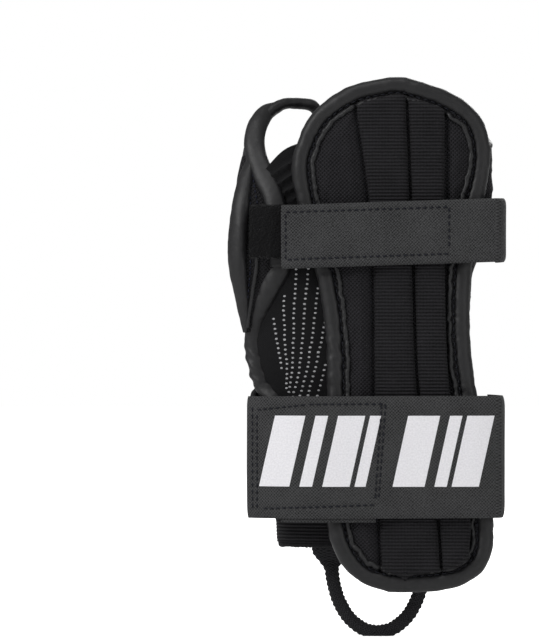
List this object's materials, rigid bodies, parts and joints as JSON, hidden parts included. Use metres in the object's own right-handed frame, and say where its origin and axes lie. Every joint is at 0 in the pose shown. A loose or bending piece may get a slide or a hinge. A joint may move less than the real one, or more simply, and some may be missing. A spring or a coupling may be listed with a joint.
{
  "type": "wrist guard",
  "caption": "Padded right-hand snow sports wrist guard with a back shield on stays, a palm pad, a thumb hole, two wrap straps and a pull loop.",
  "frame": {"origin": "centre of the wrist space inside the sleeve, halfway along the forearm part of the guard", "axes": "+Z along the arm towards the fingers, -Y out of the back of the hand, +Y out of the palm, +X towards the little finger, thumb at -X"},
  "size_m": [0.1154, 0.0683, 0.2317],
  "materials": {
    "canvas": "coarse woven canvas, matt",
    "stretch_fabric": "smooth stretch knit",
    "binding": "smooth rolled synthetic leather",
    "channel_tape": "ribbed tape",
    "stay_plastic": "stiff sheet plastic",
    "foam": "closed-cell foam",
    "loop_fabric": "fuzzy loop pile",
    "hook_fabric": "hook tape",
    "strap_webbing": "fine twill webbing",
    "pull_webbing": "ribbed narrow webbing",
    "white_print": "flat screen print"
  },
  "bodies": {
    "sleeve": {"palm_panel": "canvas", "ulnar_panel": "canvas", "thumb_panel": "canvas", "shield_pad": "canvas", "palm_pad_cover": "canvas", "vent_panel": "stretch_fabric", "back_panel": "stretch_fabric", "shield_backing": "stretch_fabric", "shield_binding": "binding", "thumb_hole_binding": "binding", "thumb_band": "binding", "thumb_edge_binding": "binding", "top_binding": "binding", "cuff_binding": "binding", "thumb_flap": "binding", "back_channel_inner": "channel_tape", "back_channel_outer": "channel_tape", "palm_channel_thumb": "channel_tape", "palm_channel_middle": "channel_tape", "palm_channel_little": "channel_tape", "back_stay_inner": "stay_plastic", "back_stay_outer": "stay_plastic", "palm_stay_thumb": "stay_plastic", "palm_stay_middle": "stay_plastic", "palm_stay_little": "stay_plastic", "palm_pad_foam": "foam", "hand_loop_patch": "loop_fabric", "wrist_loop_band": "loop_fabric", "hand_strap_anchor": "strap_webbing", "wrist_strap_anchor": "strap_webbing", "pull_loop_ends": "pull_webbing"},
    "hand_strap": {"hand_strap": "strap_webbing"},
    "hand_tab": {"hand_tab": "strap_webbing", "hand_hook": "hook_fabric"},
    "wrist_strap": {"wrist_strap": "strap_webbing", "wrist_print_strap": "white_print"},
    "wrist_tab": {"wrist_tab": "strap_webbing", "wrist_hook": "hook_fabric", "wrist_print_tab": "white_print"},
    "pull_loop": {"pull_loop": "pull_webbing"}
  },
  "joints": [
    {"name": "hand_strap_swing", "type": "hinge", "parent": "sleeve", "child": "hand_strap", "pos_m": [0.0454, -0.0303, 0.041], "axis": [0, 0, 1], "range_deg": [0, 130]},
    {"name": "hand_tab_peel", "type": "hinge", "parent": "hand_strap", "child": "hand_tab", "pos_m": [0.027, -0.0325, 0.041], "axis": [0, 0, 1], "range_deg": [0, 120]},
    {"name": "wrist_strap_swing", "type": "hinge", "parent": "sleeve", "child": "wrist_strap", "pos_m": [0.0454, -0.0332, -0.052], "axis": [0, 0, 1], "range_deg": [0, 130]},
    {"name": "wrist_tab_peel", "type": "hinge", "parent": "wrist_strap", "child": "wrist_tab", "pos_m": [0.001, -0.0363, -0.052], "axis": [0, 0, 1], "range_deg": [0, 120]},
    {"name": "pull_loop_swing", "type": "hinge", "parent": "sleeve", "child": "pull_loop", "pos_m": [-0.002, 0.0242, -0.0922], "axis": [1, 0, 0], "range_deg": [-15, 100]}
  ]
}
